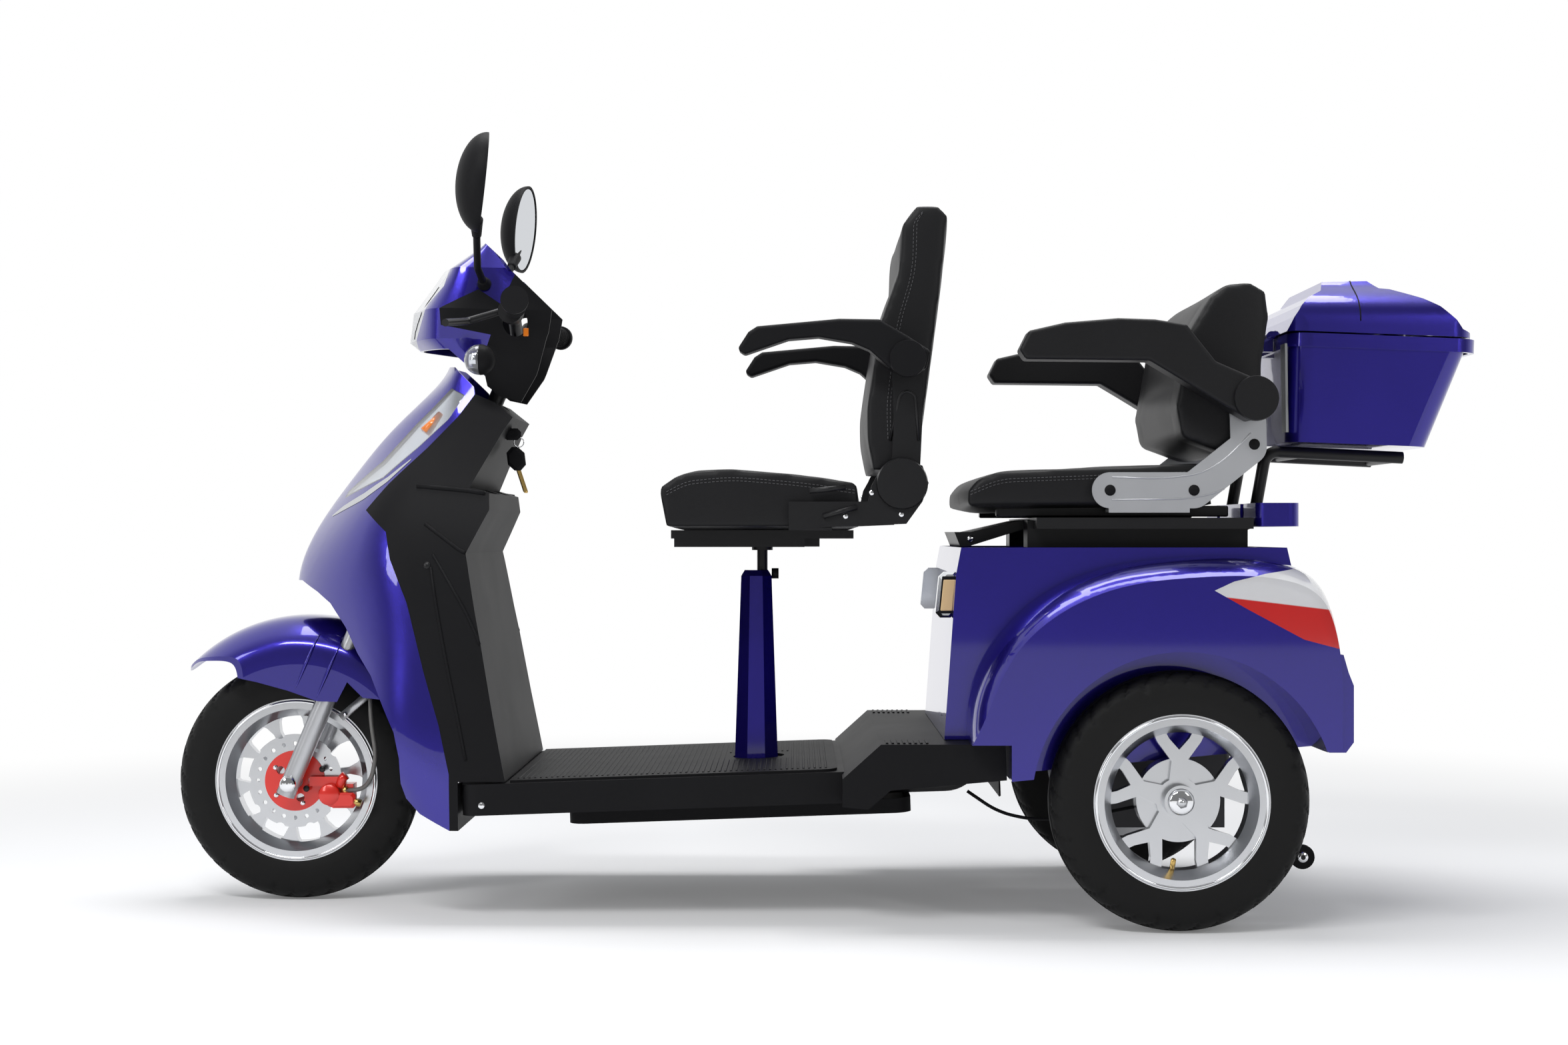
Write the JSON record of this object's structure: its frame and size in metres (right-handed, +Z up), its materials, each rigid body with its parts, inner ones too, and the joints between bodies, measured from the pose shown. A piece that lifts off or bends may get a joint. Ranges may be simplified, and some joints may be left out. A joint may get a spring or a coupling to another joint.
{
  "type": "two-seat mobility scooter",
  "caption": "Three-wheeled mobility scooter with a steered front wheel, seats in line for rider and passenger, fold-up armrests and a lidded top box.",
  "frame": {"origin": "on the floor, under the middle of the overall box", "axes": "+X towards the front wheel, +Y to the rider's left, +Z up"},
  "size_m": [2.1698, 0.732, 1.2637],
  "materials": {
    "blue_paint": "deep metallic blue, clear-coated",
    "black_plastic": "fine-textured black",
    "black_steel": "black powder coat",
    "silver_steel": "silver paint",
    "alloy": "machined cast aluminium",
    "cast_block": "as cast",
    "red_metal": "red anodised",
    "rubber": "ribbed",
    "tyre": "black road tyre",
    "leatherette": "black leatherette, light stitching",
    "clear_lens": "clear moulded",
    "red_lens": "clear over red moulding",
    "spring_gold": "gold spring, black damper"
  },
  "bodies": {
    "chassis": {"fairing": "blue_paint", "leg_shield": "black_plastic", "frame": "black_steel", "deck": "black_plastic", "floor_mat": "rubber", "belly_tray": "black_plastic", "seat_post": "blue_paint", "front_seat_base": "black_steel", "front_cushion": "leatherette", "rear_body": "blue_paint", "power_unit": "cast_block", "shocks": "spring_gold", "tail_lamps": "red_lens", "bumper": "blue_paint", "rear_seat_base": "black_steel", "rear_seat_brackets": "silver_steel", "rear_cushion": "leatherette", "rear_backrest": "leatherette", "tail_plate": "blue_paint", "top_box": "blue_paint", "marker_lenses": "clear_lens"},
    "steering": {"fork": "black_steel", "fork_legs": "silver_steel", "front_mudguard": "blue_paint", "caliper": "red_metal", "head_cowl": "blue_paint", "headlight": "clear_lens", "dash": "black_plastic", "handlebar": "black_steel", "grips": "rubber", "mirrors": "black_plastic", "turn_signals": "clear_lens"},
    "front_wheel": {"front_tyre": "tyre", "front_rim": "alloy", "front_disc": "alloy", "disc_carrier": "red_metal"},
    "rear_wheel_l": {"rear_tyre_l": "tyre", "rear_rim_l": "alloy"},
    "rear_wheel_r": {"rear_tyre_r": "tyre", "rear_rim_r": "alloy"},
    "anti_tip_l": {"anti_tip_wheel_l": "black_plastic"},
    "anti_tip_r": {"anti_tip_wheel_r": "black_plastic"},
    "seat_back": {"front_backrest": "leatherette", "front_back_frame": "black_steel"},
    "front_arm_l": {"front_arm_l": "black_plastic"},
    "front_arm_r": {"front_arm_r": "black_plastic"},
    "rear_arm_l": {"rear_arm_l": "leatherette"},
    "rear_arm_r": {"rear_arm_r": "leatherette"},
    "lid": {"box_lid": "blue_paint"}
  },
  "joints": [
    {"name": "steer", "type": "hinge", "parent": "chassis", "child": "steering", "pos_m": [0.65154, 0, 0.59774], "axis": [-0.3907, 0, 0.9205], "range_deg": [-38, 38]},
    {"name": "front_wheel_spin", "type": "hinge", "parent": "steering", "child": "front_wheel", "pos_m": [0.878, 0, 0.205], "axis": [0, 1, 0], "continuous": true},
    {"name": "rear_wheel_l_spin", "type": "hinge", "parent": "chassis", "child": "rear_wheel_l", "pos_m": [-0.573, 0.312, 0.205], "axis": [0, 1, 0], "continuous": true},
    {"name": "rear_wheel_r_spin", "type": "hinge", "parent": "chassis", "child": "rear_wheel_r", "pos_m": [-0.573, -0.312, 0.205], "axis": [0, 1, 0], "continuous": true},
    {"name": "anti_tip_l_spin", "type": "hinge", "parent": "chassis", "child": "anti_tip_l", "pos_m": [-0.802, 0.165, 0.094], "axis": [0, 1, 0], "continuous": true},
    {"name": "anti_tip_r_spin", "type": "hinge", "parent": "chassis", "child": "anti_tip_r", "pos_m": [-0.802, -0.165, 0.094], "axis": [0, 1, 0], "continuous": true},
    {"name": "recline", "type": "hinge", "parent": "chassis", "child": "seat_back", "pos_m": [-0.143, 0, 0.705], "axis": [0, -1, 0], "range_deg": [0, 20]},
    {"name": "front_arm_l_fold", "type": "hinge", "parent": "seat_back", "child": "front_arm_l", "pos_m": [-0.15, 0.248, 0.903], "axis": [0, -1, 0], "range_deg": [0, 90]},
    {"name": "front_arm_r_fold", "type": "hinge", "parent": "seat_back", "child": "front_arm_r", "pos_m": [-0.15, -0.248, 0.903], "axis": [0, -1, 0], "range_deg": [0, 90]},
    {"name": "rear_arm_l_fold", "type": "hinge", "parent": "chassis", "child": "rear_arm_l", "pos_m": [-0.698, 0.274, 0.838], "axis": [0, -1, 0], "range_deg": [0, 85]},
    {"name": "rear_arm_r_fold", "type": "hinge", "parent": "chassis", "child": "rear_arm_r", "pos_m": [-0.698, -0.274, 0.838], "axis": [0, -1, 0], "range_deg": [0, 85]},
    {"name": "lid_hinge", "type": "hinge", "parent": "chassis", "child": "lid", "pos_m": [-0.768, 0, 0.956], "axis": [0, 1, 0], "range_deg": [0, 48]}
  ]
}
